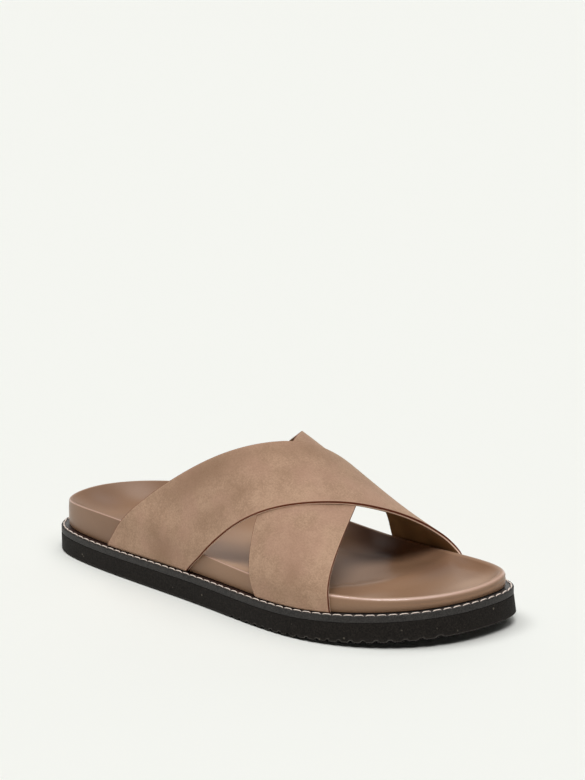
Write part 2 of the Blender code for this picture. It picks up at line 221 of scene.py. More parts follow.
# A soft place of a strap's leather is centred a distance along the strap from its outer end and
# a distance towards its front edge from its middle line, turned from the strap's length by
# degrees, and fades over its half length and half width.
Soft = namedtuple("Soft", "strap along across length width amount turn", defaults=(0,))

# Soft troughs, below 0, and ridges
FOLDS = (
    Soft("over", along=26, across=-10, turn=18, length=26, width=9, amount=-0.45),
    Soft("over", along=44, across=12, turn=-12, length=30, width=8, amount=0.35),
    Soft("over", along=78, across=-8, turn=8, length=34, width=9, amount=-0.40),
    Soft("over", along=104, across=14, turn=16, length=26, width=8, amount=-0.30),
    Soft("over", along=120, across=-12, turn=-10, length=30, width=9, amount=0.35),
    Soft("over", along=160, across=2, turn=12, length=28, width=8, amount=-0.30),
    Soft("under", along=24, across=8, turn=-10, length=22, width=7, amount=-0.35),
    Soft("under", along=42, across=-9, turn=8, length=28, width=8, amount=0.35),
    Soft("under", along=66, across=10, turn=6, length=24, width=8, amount=-0.30),
    Soft("under", along=150, across=-6, turn=-8, length=28, width=8, amount=-0.35),
)

# Soft patches of painted shade, where the nubuck is darker, below 0, and of painted light, where it is paler
PATCHES = (
    Soft("over", along=64, across=-15, length=34, width=12, amount=-0.8),
    Soft("over", along=124, across=-17, length=24, width=9, amount=-0.5),
    Soft("over", along=33, across=4, length=8, width=6, amount=-0.2),
    Soft("over", along=19, across=-6, length=6, width=5, amount=-0.35),
    Soft("over", along=87, across=7, length=12, width=6, amount=-0.35),
    Soft("over", along=113, across=1, length=14, width=5, amount=-0.3),
    Soft("over", along=116, across=17, length=30, width=8, amount=0.3),
    Soft("over", along=150, across=0, length=26, width=30, amount=-0.3),
    Soft("over", along=62, across=12, length=22, width=8, amount=-0.5),
    Soft("over", along=14, across=8, length=14, width=12, amount=-0.7),
    Soft("under", along=38, across=2, length=8, width=8, amount=-0.3),
    Soft("under", along=19, across=5, length=7, width=5, amount=-0.4),
    Soft("under", along=8, across=2, length=12, width=20, amount=-0.4),
    Soft("under", along=30, across=19, length=30, width=6, amount=0.3),
    Soft("under", along=109, across=-18, length=30, width=14, amount=-0.4),
)

# Patches of painted shade on the footbed, below 0, and of painted light, by their middle and half sizes
BedPatch = namedtuple("BedPatch", "x y length width tone")
BED_PATCHES = (
    BedPatch(x=-131, y=14, length=18, width=18, tone=-0.9),
    BedPatch(x=-114, y=-10, length=20, width=15, tone=0.35),
    BedPatch(x=96, y=26, length=15, width=22, tone=-1.1),
    BedPatch(x=43, y=44, length=26, width=13, tone=-1.7),
    BedPatch(x=2, y=-30, length=34, width=9, tone=1.0),
    BedPatch(x=126, y=22, length=12, width=22, tone=0.4),
    BedPatch(x=14, y=-8, length=45, width=44, tone=1.0),
)


def column(table, name):
    """One column of a table."""
    return np.array([getattr(row, name) for row in table], float)


def spline(at, knots, values, period=None):
    """Cubic spline through the knots, natural at its ends, or closed where a period is given."""
    at = np.asarray(at, float)
    if period is not None:
        knots = np.append(knots, knots[0] + period)
        values = np.append(values, values[0])
        at = (at - knots[0]) % period + knots[0]
    step = np.diff(knots)
    slope = np.diff(values) / step
    count = len(knots)
    system = np.zeros((count, count))
    known = np.zeros(count)
    for k in range(1, count - 1):
        system[k, k - 1] = step[k - 1]
        system[k, k] = 2 * (step[k - 1] + step[k])
        system[k, k + 1] = step[k]
        known[k] = 6 * (slope[k] - slope[k - 1])
    if period is None:
        system[0, 0] = 1
        system[-1, -1] = 1
    else:
        system[0, 0] = 2 * (step[0] + step[-1])
        system[0, 1] = step[0]
        system[0, -2] = step[-1]
        known[0] = 6 * (slope[0] - slope[-1])
        system[-1, 0] = 1
        system[-1, -1] = -1
    bend = np.linalg.solve(system, known)
    k = np.clip(np.searchsorted(knots, at, side="right") - 1, 0, count - 2)
    width = step[k]
    left = knots[k + 1] - at
    right = at - knots[k]
    return (
        bend[k] * left ** 3 / (6 * width)
        + bend[k + 1] * right ** 3 / (6 * width)
        + (values[k] / width - bend[k] * width / 6) * left
        + (values[k + 1] / width - bend[k + 1] * width / 6) * right
    )


def smooth_step(t):
    """0 below 0, 1 above 1 and 3t^2 - 2t^3 between."""
    t = np.clip(t, 0, 1)
    return t * t * (3 - 2 * t)


def bump(distance, width):
    """Bell curve: 1 at no distance, exp(-1) at width."""
    return np.exp(-(distance / width) ** 2)


def outline(inset, count):
    """Outline of the welt moved inwards by inset: x = -half length x cos(turn), y a closed
    spline through the half widths, counter-clockwise from the heel end along the outer side."""
    turns = np.radians(column(SOLE_OUTLINE, "turn"))
    knots = np.concatenate(([0], turns, [math.pi], 2 * math.pi - turns[::-1]))
    widths = np.concatenate((
        [HEEL_END_Y],
        -column(SOLE_OUTLINE, "outer"),
        [TOE_END_Y],
        column(SOLE_OUTLINE, "inner")[::-1],
    ))
    turn = np.arange(count) * 2 * math.pi / count
    points = np.column_stack((
        -LENGTH / 2 * np.cos(turn),
        spline(turn, knots, widths, period=2 * math.pi),
    ))
    along = np.roll(points, -1, axis=0) - np.roll(points, 1, axis=0)
    along /= np.linalg.norm(along, axis=1)[:, None]
    inward = np.column_stack((-along[:, 1], along[:, 0]))
    return points + inward * np.reshape(inset, (-1, 1))


def toe_share(x):
    """0 up to the line where the toe spring starts, 1 at the toe end."""
    return np.clip((x - SPRING_START_X) / (LENGTH / 2 - SPRING_START_X), 0, 1)


def toe_rise(x):
    """Toe spring: the underside climbs as spring x share^power towards the toe."""
    return TOE_SPRING * toe_share(x) ** SPRING_POWER


def height(name, x):
    """Spline along the sole through a column of the sections."""
    return spline(x, column(SECTIONS, "x"), column(SECTIONS, name))


def side_blend(points):
    """0 on the outer side of the sole, 1 on the inner side, smooth round both ends."""
    half = len(points) // 2
    middle = np.interp(
        points[:, 0],
        points[: half + 1, 0],
        (points[: half + 1, 1] + np.concatenate((points[:1, 1], points[half:, 1][::-1]))) / 2,
    )
    return smooth_step((points[:, 1] - middle) / SIDE_BLEND + 0.5)


def side_value(name, points):
    """A section value that differs between the sides, such as rim or cup."""
    inner = side_blend(points)
    x = points[:, 0]
    return height(name + "_outer", x) * (1 - inner) + height(name + "_inner", x) * inner


def bed_height(x, y):
    """Lowest line of the footbed, with the soft bar that the toes hold."""
    back = TOE_BAR_BEND * np.minimum(y - TOE_END_Y, 0) ** 2
    bar = (x - TOE_BAR_X + back) / TOE_BAR_LENGTH
    return height("bed", x) + TOE_BAR_HEIGHT * np.exp(-bar ** 2)


def spine(count):
    """Line down the middle of the sole, one point for each turn, where a lofted surface closes:
    the outer and the inner half of the turn share their points."""
    whole = outline(0, count)
    half = count // 2
    inner = np.concatenate((whole[:1, 1], whole[half:, 1][::-1]))
    middle = (whole[: half + 1, 1] + inner) / 2
    turn = np.arange(count) * 2 * math.pi / count
    centre = (SPINE_REAR_X + SPINE_FRONT_X) / 2
    x = centre - (SPINE_FRONT_X - SPINE_REAR_X) / 2 * np.cos(turn)
    return np.column_stack((x, np.interp(x, whole[: half + 1, 0], middle)))


def lift_flat(points, z):
    """Points in plan with a height, one for all or one for each."""
    return np.column_stack((points, np.broadcast_to(z, len(points))))


def box_centre():
    """Middle of the sole seen from above, which is the model's origin."""
    flat = outline(0, SOLE_ROUND_STEPS)
    foot = outline(-TOE_FLARE * toe_share(flat[:, 0]), SOLE_ROUND_STEPS)
    middle = (foot.min(axis=0) + foot.max(axis=0)) / 2
    return np.array((middle[0], middle[1], 0.0))


BOX_CENTRE = box_centre()


def new_piece(name, points, faces, material, values=None):
    """Mesh object from an array of points in millimetres and lists of corners; values are
    attributes of the points."""
    mesh = bpy.data.meshes.new(name)
    points = (np.reshape(points, (-1, 3)) - BOX_CENTRE) * MM
    mesh.from_pydata(points.tolist(), [], faces)
    for key, numbers in (values or {}).items():
        attribute = mesh.attributes.new(key, "FLOAT", "POINT")
        attribute.data.foreach_set("value", np.ravel(numbers).astype(np.float32))
    mesh.shade_smooth()
    mesh.materials.append(material)
    piece = bpy.data.objects.new(name, mesh)
    bpy.context.scene.collection.objects.link(piece)
    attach(piece, "root")
    return piece


def quads(index, wrap_rows=False):
    """Quads of a grid of point numbers whose columns close into a ring."""
    below = index if wrap_rows else index[:-1]
    above = np.roll(index, -1, axis=0) if wrap_rows else index[1:]
    corners = (below, np.roll(below, -1, axis=1), np.roll(above, -1, axis=1), above)
    return np.stack(corners, axis=-1).reshape(-1, 4)


def loft(name, rows, material, values=None):
    """Closed piece from rings round the sole, the bottom spine first and the top spine last.
    On the spine, point k and point count - k are one point."""
    rows = np.array(rows)
    count = rows.shape[1]
    index = np.arange(rows.shape[0] * count).reshape(rows.shape[:2])
    half = count // 2
    for end in (0, -1):
        index[end, half + 1:] = index[end, 1:half][::-1]
    faces = quads(index)
    used, faces = np.unique(faces, return_inverse=True)
    values = {key: np.ravel(numbers)[used] for key, numbers in (values or {}).items()}
    faces = faces.reshape(-1, 4).tolist()
    return new_piece(name, rows.reshape(-1, 3)[used], faces, material, values)


def ladder(ring):
    """Cap of an even ring of point numbers: rungs between its halves."""
    count = len(ring)
    faces = [(ring[0], ring[1], ring[-1])]
    faces += [(ring[k], ring[k + 1], ring[-k - 1], ring[-k]) for k in range(1, count // 2 - 1)]
    faces += [(ring[count // 2 - 1], ring[count // 2], ring[count // 2 + 1])]
    return faces


def valleys(x, first):
    """1 in the middle of each groove and 0 between two of them: a smooth step of the distance
    from the nearest middle, the first at a given x and one each pitch."""
    away = np.abs((x - first + GROOVE_PITCH / 2) % GROOVE_PITCH - GROOVE_PITCH / 2)
    return smooth_step(1.5 - away / GROOVE_WIDTH * 2)


def groove_depth(x, y):
    """Depth of the tread: rounded valleys across the sole, through to the side in the forefoot
    and closed short of the edge in the heel."""
    fore = (x > FOREFOOT_GROOVES[0] - GROOVE_PITCH / 2) & (x < FOREFOOT_GROOVES[1])
    heel = (x > HEEL_GROOVES[0] - GROOVE_PITCH / 2) & (x < HEEL_GROOVES[1] - GROOVE_PITCH / 2)
    heel_shape = valleys(x, HEEL_GROOVES[0]) * smooth_step(HEEL_GROOVE_HALF - np.abs(y))
    return GROOVE_DEPTH * (valleys(x, FOREFOOT_GROOVES[0]) * fore + heel_shape * heel)


def make_outsole(material):
    """Rings from the middle of the tread out to its edge, up the small step and round the side's lower edge,
    up the flared side and back in over the top. The tread lifts every point that lies lower than the valley
    above it. The painted highlight is a bell curve above the lower edge."""
    count = SOLE_ROUND_STEPS
    flat = outline(0, count)
    middle = spine(count)
    share = toe_share(flat[:, 0])
    rise = toe_rise(flat[:, 0])
    flare = TOE_FLARE * share
    top = height("ledge", flat[:, 0]) - WELT_HEIGHT - SOLE_JOINT
    edge = outline(TREAD_INSET - flare, count)
    rows = []
    for t in np.linspace(0, 1, TREAD_STEPS, endpoint=False):
        points = middle + (edge - middle) * t ** TREAD_SPREAD
        rows.append(lift_flat(points, toe_rise(points[:, 0])))
    for t in (0.0, 0.15, 0.5, 0.85):
        rows.append(lift_flat(edge, rise + TREAD_STEP * t))
    tread_rows = len(rows)
    for angle in np.linspace(0, math.pi / 2, 6):
        inset = SIDE_EDGE * (1 - math.sin(angle)) - flare
        z = rise + TREAD_STEP + SIDE_EDGE * (1 - math.cos(angle))
        rows.append(lift_flat(outline(inset, count), z))
    for t in SIDE_SHARE * np.linspace(0, 1, SIDE_STEPS + 1)[1:] ** SIDE_SPREAD:
        z = (rise + TREAD_STEP + SIDE_EDGE) * (1 - t) + top * t
        rows.append(lift_flat(outline(-flare * (1 - t), count), z))
    for angle in np.linspace(0, math.pi / 2, 4):
        inset = SOLE_TOP_ROUND * (1 - math.cos(angle))
        z = top - SOLE_TOP_ROUND * (1 - math.sin(angle))
        rows.append(lift_flat(outline(inset, count), z))
    inner = outline(WELT_WIDTH, count)
    rows.append(lift_flat(inner, height("ledge", inner[:, 0]) - WELT_HEIGHT - SOLE_JOINT))
    rows.append(lift_flat(middle, height("ledge", middle[:, 0]) - WELT_HEIGHT - GAP))
    rows = np.array(rows)
    x = rows[..., 0]
    ceiling = toe_rise(x) + groove_depth(x, rows[..., 1])
    rows[..., 2] = np.maximum(rows[..., 2], ceiling)
    lowest = np.maximum(rise + TREAD_STEP, ceiling)
    # painted highlight along the lower edge
    edge_highlight = bump(rows[..., 2] - lowest, EDGE_HIGHLIGHT_HEIGHT)
    edge_highlight[:tread_rows] = 0
    return loft("outsole_rubber", rows, material, {"edge_highlight": edge_highlight})


def stitch_places(count):
    """Distance along the stitch line for each point of the outline, the line's length and
    how many stitches share it."""
    line = outline(STITCH_INSET, count)
    steps = np.linalg.norm(np.roll(line, -1, axis=0) - line, axis=1)
    length = steps.sum()
    return np.concatenate(([0], np.cumsum(steps)[:-1])), length, round(length / STITCH_PITCH)


def make_welt(material):
    """Ring with a rectangle's profile and a rounded top edge. Its top has a shallow trough for the stitches
    and a dimple at each hole, both bell curves. Painted shade lies along the wall's foot, a smooth step
    inwards from the stitches, and round each hole."""
    count = SOLE_ROUND_STEPS
    along, length, stitches = stitch_places(count)
    pitch = length / stitches
    to_hole = np.abs((along + pitch / 2) % pitch - pitch / 2)
    profile = [(WELT_WIDTH, 0.0), (3.0, 0.0), (WELT_LOWER_EDGE, 0.0), (0.0, WELT_LOWER_EDGE)]
    profile += [(0.0, z) for z in np.linspace(0.8, WELT_HEIGHT - WELT_EDGE, 5)]
    for angle in np.linspace(0, math.pi / 2, 6)[1:]:
        profile.append((
            WELT_EDGE * (1 - math.cos(angle)),
            WELT_HEIGHT - WELT_EDGE * (1 - math.sin(angle)),
        ))
    profile += [(inset, WELT_HEIGHT) for inset in np.linspace(*FINE_LEDGE, 11)]
    profile += [(inset, WELT_HEIGHT) for inset in (3.6, WALL_INSET + 1.0, WELT_WIDTH)]
    rows = []
    hole_shades = []
    foot_shade = []
    for inset, z in profile:
        points = outline(inset, count)
        ledge = height("ledge", points[:, 0])
        on_top = float(z == WELT_HEIGHT)
        inside = inset - STITCH_INSET
        rear = smooth_step((points[:, 0] - FOOT_SHADE_REAR_X) / FOOT_SHADE_REAR_FADE)
        front = smooth_step((FOOT_SHADE_FRONT_X - points[:, 0]) / FOOT_SHADE_FRONT_FADE)
        # painted shade along the wall's foot
        foot_shade.append(on_top * smooth_step((inside - FOOT_SHADE_START) / FOOT_SHADE_FADE) * rear * front)
        trough = on_top * bump(inside, TROUGH_WIDTH)
        dimple = on_top * bump(inside, HOLE_WIDTH) * bump(to_hole, HOLE_WIDTH)
        # painted shade in the trough round each hole
        hole_shades.append(trough * bump(to_hole, HOLE_SHADE_WIDTH))
        row = ledge - WELT_HEIGHT + z - TROUGH_DEPTH * trough - HOLE_DEPTH * dimple
        rows.append(lift_flat(points, row))
    index = np.arange(len(rows) * count).reshape(len(rows), count)
    faces = quads(index, wrap_rows=True).tolist()
    on_ledge = np.repeat([float(z == WELT_HEIGHT) for inset, z in profile], count)
    values = {"hole_shade": hole_shades, "ledge": on_ledge, "foot_shade": foot_shade}
    return new_piece("welt_strip", np.array(rows), faces, material, values)


def make_stitches(material):
    """Each stitch is a flattened thread bowed out of the ledge: a tube round the line whose
    height is rise - (rise + sink) x |u|^5, with u from -1 to 1, tapered and a little slanted."""
    count = SOLE_ROUND_STEPS
    along, length, stitches = stitch_places(count)
    pitch = length / stitches
    line = outline(STITCH_INSET, count)
    inner_line = outline(STITCH_INSET + 1.0, count)
    start = (np.arange(stitches) + 0.5) * pitch
    u = np.linspace(-1, 1, STITCH_STEPS)
    at = start[:, None] + u * STITCH_LENGTH / 2
    knots = np.append(along, length)
    place = [np.interp(at % length, knots, np.append(line[:, k], line[0, k])) for k in (0, 1)]
    inward = [
        np.interp(at % length, knots, np.append(inner_line[:, k], inner_line[0, k])) - place[k]
        for k in (0, 1)
    ]
    x, y = (place[k] + inward[k] * STITCH_SLANT * u for k in (0, 1))
    z = height("ledge", x) + STITCH_RISE - (STITCH_RISE + STITCH_SINK) * np.abs(u) ** 5
    centre = np.stack((x, y, z), axis=-1)
    ahead = np.gradient(centre, axis=1)
    ahead /= np.linalg.norm(ahead, axis=-1)[..., None]
    side = np.stack((*inward, np.zeros_like(x)), axis=-1)
    up = np.cross(side, ahead)
    up /= np.linalg.norm(up, axis=-1)[..., None]
    side = np.cross(ahead, up)
    taper = 1 - STITCH_TAPER * np.abs(u) ** 4
    turn = np.arange(STITCH_SIDES) * 2 * math.pi / STITCH_SIDES
    spoke = side[..., None, :] * (STITCH_HALF_WIDTH * np.cos(turn))[:, None]
    spoke = spoke + up[..., None, :] * (STITCH_HALF_HEIGHT * np.sin(turn))[:, None]
    tube = centre[..., None, :] + spoke * taper[:, None, None]
    index = np.arange(tube[..., 0].size).reshape(tube.shape[:3])
    faces = np.concatenate([quads(one) for one in index])[:, ::-1].tolist()
    faces += index[:, 0].tolist() + index[:, -1, ::-1].tolist()
    twist = at[..., None] / STITCH_TWIST + np.arange(STITCH_SIDES) / STITCH_SIDES
    return new_piece("welt_stitches", tube, faces, material, {"twist": twist})


def make_footbed(material):
    """Rings from the hidden core out to the wall, up its slight bulge, over the rim as a quarter circle and a
    soft inner lip, and down the cup as away^power, steeper near the rim, to the spine. The wall has a soft
    crease round the toe, a bell curve in height. The painted shade, below 0, and painted light in the cup are
    a sum of the bed's patches; outside the cup, the wall and rim are painted a little paler, and the rim's
    crest is marked for its polish and painted highlight."""
    count = ROUND_STEPS
    core = outline(WELT_WIDTH + GAP, count)
    core_ledge = height("ledge", core[:, 0])
    middle = spine(count)
    wall = outline(WALL_INSET, count)
    ledge = height("ledge", wall[:, 0]) + GAP
    rim = side_value("rim", wall)
    rim_round = height("round", wall[:, 0])
    lip_inset = WALL_INSET + 2 * rim_round
    lip = outline(lip_inset, count)
    lip_rim = side_value("rim", lip)
    cup = side_value("cup", lip)
    to_spine = middle - lip
    reach = np.linalg.norm(to_spine, axis=1)
    inward = outline(lip_inset + 1, count) - lip
    straight = np.clip((to_spine * inward).sum(axis=1) / reach, CUP_LEAST_COSINE, 1)
    bed = bed_height(lip[:, 0], lip[:, 1])
    lip_drop = LIP_DROP + (TOE_LIP_DROP - LIP_DROP) * toe_share(lip[:, 0])
    lip_slope = CUP_POWER * (lip_rim - lip_drop - bed) / cup
    rows = [
        lift_flat(middle, height("ledge", middle[:, 0]) - WELT_HEIGHT),
        lift_flat(core, core_ledge - WELT_HEIGHT),
        lift_flat(core, core_ledge + GAP),
        lift_flat(outline(WALL_INSET + 3.0, count), ledge),
    ]
    for angle in np.linspace(0, math.pi / 2, 5)[1:]:
        inset = WALL_INSET + WALL_FOOT_ROUND * (1 - math.sin(angle))
        z = ledge + WALL_FOOT_ROUND * (1 - math.cos(angle))
        rows.append(lift_flat(outline(inset, count), z))
    creased = TOE_CREASE_DEPTH * smooth_step((wall[:, 0] - TOE_CREASE_X) / TOE_CREASE_FADE)
    for t in np.linspace(0, 1, WALL_STEPS + 1)[1:-1]:
        z = (ledge + WALL_FOOT_ROUND) * (1 - t) + (rim - rim_round) * t
        crease = creased * bump(z - rim + TOE_CREASE_DROP, TOE_CREASE_WIDTH)
        inset = WALL_INSET + crease - WALL_BULGE * math.sin(math.pi * t)
        rows.append(lift_flat(outline(inset, count), z))
    crest = [0.0] * len(rows)
    for angle in np.linspace(0, math.pi / 2, RIM_STEPS + 1):
        inset = WALL_INSET + rim_round * (1 - math.cos(angle))
        rows.append(lift_flat(outline(inset, count), rim - rim_round * (1 - math.sin(angle))))
        crest.append(bump(angle - CREST_TURN, CREST_SPREAD))
    for t in np.linspace(0, 1, LIP_STEPS + 1)[1:-1]:
        inset = WALL_INSET + rim_round * (1 + t)
        drop = lip_drop * t * t * (3 - 2 * t) + lip_slope * rim_round * t * t * (t - 1)
        blend = rim * (1 - t) + lip_rim * t
        rows.append(lift_flat(outline(inset, count), blend - drop))
        crest.append(bump(math.pi / 2 - CREST_TURN, CREST_SPREAD) * (1 - t))
    for t in np.linspace(0, 1, CUP_STEPS):
        share = t ** CUP_SPREAD
        points = lip + to_spine * share
        away = np.clip(1 - reach * share * straight / cup, 0, 1)
        bed = bed_height(points[:, 0], points[:, 1])
        rows.append(lift_flat(points, bed + (lip_rim - lip_drop - bed) * away ** CUP_POWER))
    crest += [0.0] * CUP_STEPS
    place = np.array(rows) - BOX_CENTRE
    # painted shade, below 0, and painted light in the cup, from the bed's patches
    painted_shading = np.zeros(place.shape[:2])
    for patch in BED_PATCHES:
        painted_shading += (
            patch.tone * bump(place[..., 0] - patch.x, patch.length)
            * bump(place[..., 1] - patch.y, patch.width)
        )
    toe = smooth_step((wall[:, 0] - WALL_PALE_TOE_X) / WALL_PALE_TOE_FADE)
    waist = bump(wall[:, 0] - WALL_PALE_WAIST_X, WALL_PALE_WAIST_LENGTH)
    # painted light: everything outside the cup is a little paler
    painted_shading[:-CUP_STEPS] = WALL_PALE + WALL_PALE_TOE * toe + WALL_PALE_WAIST * waist
    values = {"painted_shading": painted_shading, "crest": np.repeat(crest, count)}
    return loft("footbed_leather", rows, material, values)


def girth_run(girth):
    """Usual distance along the girth, along which the straps' edges run evenly."""
    shares = (0, WALL_SHARE, 1 - WALL_SHARE, 1)
    return np.interp(girth, shares, (0, WALL_RUN, WALL_RUN + ARCH_RUN, 2 * WALL_RUN + ARCH_RUN))


def girth_point(x, girth):
    """Point on the outside of the under strap: up the footbed's wall, over the instep as a
    leaning half of a superellipse, and down the inner wall."""
    ledge_outline = outline(WALL_INSET - GAP - STRAP_THICKNESS, ROUND_STEPS)
    half = len(ledge_outline) // 2
    outer_y = np.interp(x, ledge_outline[: half + 1, 0], ledge_outline[: half + 1, 1])
    inner_y = np.interp(x, ledge_outline[half:, 0][::-1], ledge_outline[half:, 1][::-1])
    floor_z = height("ledge", x) + GAP
    outer_z = height("rim_outer", x) - ARCH_BASE
    inner_z = height("rim_inner", x) - ARCH_BASE
    swing = np.pi * np.clip((girth - WALL_SHARE) / (1 - 2 * WALL_SHARE), 0, 1)
    cosine = np.cos(swing)
    across = cosine * (cosine ** 2 + CREST_SOFTNESS) ** (1 / ARCH_POWER - 0.5)
    across /= (1 + CREST_SOFTNESS) ** (1 / ARCH_POWER - 0.5)
    up = np.abs(np.sin(swing)) ** (2 / ARCH_POWER)
    lean = spline(x, column(INSTEP, "x"), column(INSTEP, "lean"))
    crest = spline(x, column(INSTEP, "x"), column(INSTEP, "height"))
    lean = lean * smooth_step(up / LEAN_START)
    y = (outer_y + inner_y) / 2 - (inner_y - outer_y) / 2 * across + lean * up
    base = outer_z + (inner_z - outer_z) * (1 - cosine) / 2
    z = base + (crest - base) * up
    outer_wall = floor_z + (outer_z - floor_z) * girth / WALL_SHARE
    inner_wall = floor_z + (inner_z - floor_z) * (1 - girth) / WALL_SHARE
    z = np.where(girth < WALL_SHARE, outer_wall, z)
    z = np.where(girth > 1 - WALL_SHARE, inner_wall, z)
    return np.stack((x, y, z), axis=-1)


def unit(vectors):
    """Vectors divided by their lengths."""
    return vectors / np.linalg.norm(vectors, axis=-1)[..., None]


def soft_sum(table, strap, along, across):
    """Sum of a strap's soft places, each a bell curve along its line times one across it."""
    total = np.zeros_like(along)
    for soft in table:
        if soft.strap == strap:
            turn = math.radians(soft.turn)
            u = (along - soft.along) * math.cos(turn) + (across - soft.across) * math.sin(turn)
            v = (across - soft.across) * math.cos(turn) - (along - soft.along) * math.sin(turn)
            total += soft.amount * bump(u, soft.length) * bump(v, soft.width)
    return total


def around(face, front_edge, lining, rear_edge):
    """Values of a strap's profile in the order of its corners."""
    return np.concatenate((face, front_edge, lining[:, ::-1], rear_edge), axis=1)


def flattened(sheet, across, share):
    """Distances on the flattened strap, from its outer end and from its middle line."""
    centre = FACE_STEPS // 2
    middle = sheet[:, centre]
    walked = np.append(0, np.cumsum(np.linalg.norm(np.diff(middle, axis=0), axis=1)))
    reach = np.linalg.norm(sheet - middle[:, None], axis=-1) * np.sign(share - 0.5)
    skew = (unit(np.gradient(middle, axis=0)) * across[:, centre]).sum(axis=1)[:, None]
    return walked[:, None] + reach * skew, reach * np.sqrt(1 - skew ** 2)


def cut_edge(face, lining, outward, through):
    """Points of a cut edge, at shares e of the way from the face, 0, to the lining, 1. It
    bulges as 1 - |2e - 1|^4."""
    bulge = EDGE_ROUND * (1 - np.abs(2 * through - 1) ** 4)
    return face + (lining - face) * through[:, None] + outward * bulge[:, None]


def make_strap(name, strap, lift, material):
    """A strap is a closed profile carried along the girth: its outer face, a rounded cut edge,
    its lining and the other cut edge. Its layer runs from 0 on the outer face to 1 on the
    lining, and its edge is the distance from a cut edge in metres."""
    girth = np.linspace(0, 1, GIRTH_STEPS + 1)
    knots = girth_run(column(STRAP_EDGES, "girth"))
    rear = spline(girth_run(girth), knots, column(STRAP_EDGES, strap + "_rear"))[:, None]
    front = spline(girth_run(girth), knots, column(STRAP_EDGES, strap + "_front"))[:, None]
    share = np.linspace(0, 1, FACE_STEPS + 1)
    x = rear + (front - rear) * share
    girth = np.broadcast_to(girth[:, None], x.shape)
    sheet = girth_point(x, girth)
    across = unit(np.gradient(sheet, axis=1))
    outward = unit(np.cross(across, np.gradient(sheet, axis=0)))
    from_end = np.minimum(girth, 1 - girth)
    climb = smooth_step((from_end - RAISE_FROM) / (RAISE_FULL - RAISE_FROM))
    sheet = sheet + outward * (lift * climb)[..., None]
    far_along, aside = flattened(sheet, across, share)
    folds = soft_sum(FOLDS, strap, far_along, aside) * smooth_step(from_end / FOLD_ENDS)
    sheet = sheet + outward * folds[..., None]
    height_left = from_end / WALL_SHARE * (WALL_RUN - GAP)
    skive = SKIVE_DEPTH * np.clip(1 - height_left / SKIVE_HEIGHT, 0, 1) ** 2
    lining_base = sheet - outward * STRAP_THICKNESS
    sheet = sheet - outward * skive[..., None]
    face = sheet.copy()
    face[:, 0] += across[:, 0] * EDGE_ROUND
    face[:, -1] -= across[:, -1] * EDGE_ROUND
    lining = lining_base + (face - sheet)
    through = (1 - np.cos(np.linspace(0, math.pi, EDGE_STEPS + 2)[1:-1])) / 2
    front_edge = cut_edge(face[:, -1:], lining[:, -1:], across[:, -1:], through)
    rear_edge = cut_edge(face[:, :1], lining[:, :1], -across[:, :1], through[::-1])
    skin = around(face, front_edge, lining, rear_edge)
    rows, columns = skin.shape[:2]
    blank = np.zeros((rows, EDGE_STEPS))
    to_edge = np.minimum(share, 1 - share) * np.abs(aside[:, -1:] - aside[:, :1])
    # painted shade, below 0, and painted light of the strap's patches
    tone = soft_sum(PATCHES, strap, far_along, aside)
    values = {
        "layer": around(x * 0, blank + through, x * 0 + 1, blank + through[::-1]),
        "edge": around(to_edge, blank, to_edge, blank) * MM,
        "tone": around(tone, blank, x * 0, blank),
    }
    index = np.arange(rows * columns).reshape(rows, columns)
    rings = np.roll(index, EDGE_STEPS // 2 + 1, axis=1)
    caps = ladder(rings[0]) + ladder(rings[-1, ::-1])
    faces = quads(index).tolist() + [corners[::-1] for corners in caps]
    return new_piece(name, skin, faces, material, values)


class Socket:
    """An output socket in a material's tree. Plain maths on it adds Math nodes."""

    def __init__(self, tree, socket=None):
        self.tree = tree
        self.socket = socket

    def node(self, kind, settings=None, sockets=None, output=0):
        """Adds a node: first its settings, then the values or links of its sockets."""
        made = self.tree.nodes.new("ShaderNode" + kind)
        for name, value in (settings or {}).items():
            setattr(made, name, value)
        for name, value in (sockets or {}).items():
            if isinstance(value, Socket):
                self.tree.links.new(value.socket, made.inputs[name])
            else:
                made.inputs[name].default_value = value
        return Socket(self.tree, made.outputs[output])

    def math(self, operation, *values):
        """A Math node on sockets or numbers."""
        return self.node("Math", {"operation": operation}, dict(enumerate(values)))

    def __add__(self, other):
        return self.math("ADD", self, other)

    def __sub__(self, other):
        return self.math("SUBTRACT", self, other)

    def __rsub__(self, other):
        return self.math("SUBTRACT", other, self)

    def __mul__(self, other):
        return self.math("MULTIPLY", self, other)

    def step(self, low, high, from_value=0.0, to_value=1.0):
        """Smooth step of the value from low to high."""
        limits = {"From Min": low, "From Max": high, "To Min": from_value, "To Max": to_value}
        settings = {"interpolation_type": "SMOOTHSTEP"}
        return self.node("MapRange", settings, {"Value": self, **limits})

    def fall(self, low, high):
        """1 below low and 0 above high, with a smooth step between."""
        return self.step(low, high, 1.0, 0.0)

    def band(self, middle, half, soft):
        """1 inside a band round the middle, falling to 0 past its half width."""
        return self.math("ABSOLUTE", self - middle).fall(half, half + soft)

    def mix(self, factor, first, second):
        """Mixes two colours."""
        settings = {"data_type": "RGBA"}
        return self.node("Mix", settings, {0: factor, 6: first, 7: second}, output=2)

    def place(self):
        """Object coordinates, in metres."""
        return self.node("TexCoord", output=3)

    def attribute(self, name):
        """Each point's number in the mesh attribute of this name."""
        return self.node("Attribute", {"attribute_name": name}, output=2)

    def noise(self, place, scale, detail=2.0, roughness=0.5):
        """Soft random pattern, its scale the waves to the metre."""
        sockets = {"Vector": place, "Scale": scale, "Detail": detail, "Roughness": roughness}
        return self.node("TexNoise", None, sockets)

    def relief(self, heights, distance, strength=1.0):
        """Bump from heights of 0 to 1, the distance being their real size in metres."""
        sockets = {"Height": heights, "Distance": distance, "Strength": strength}
        return self.node("Bump", None, sockets)


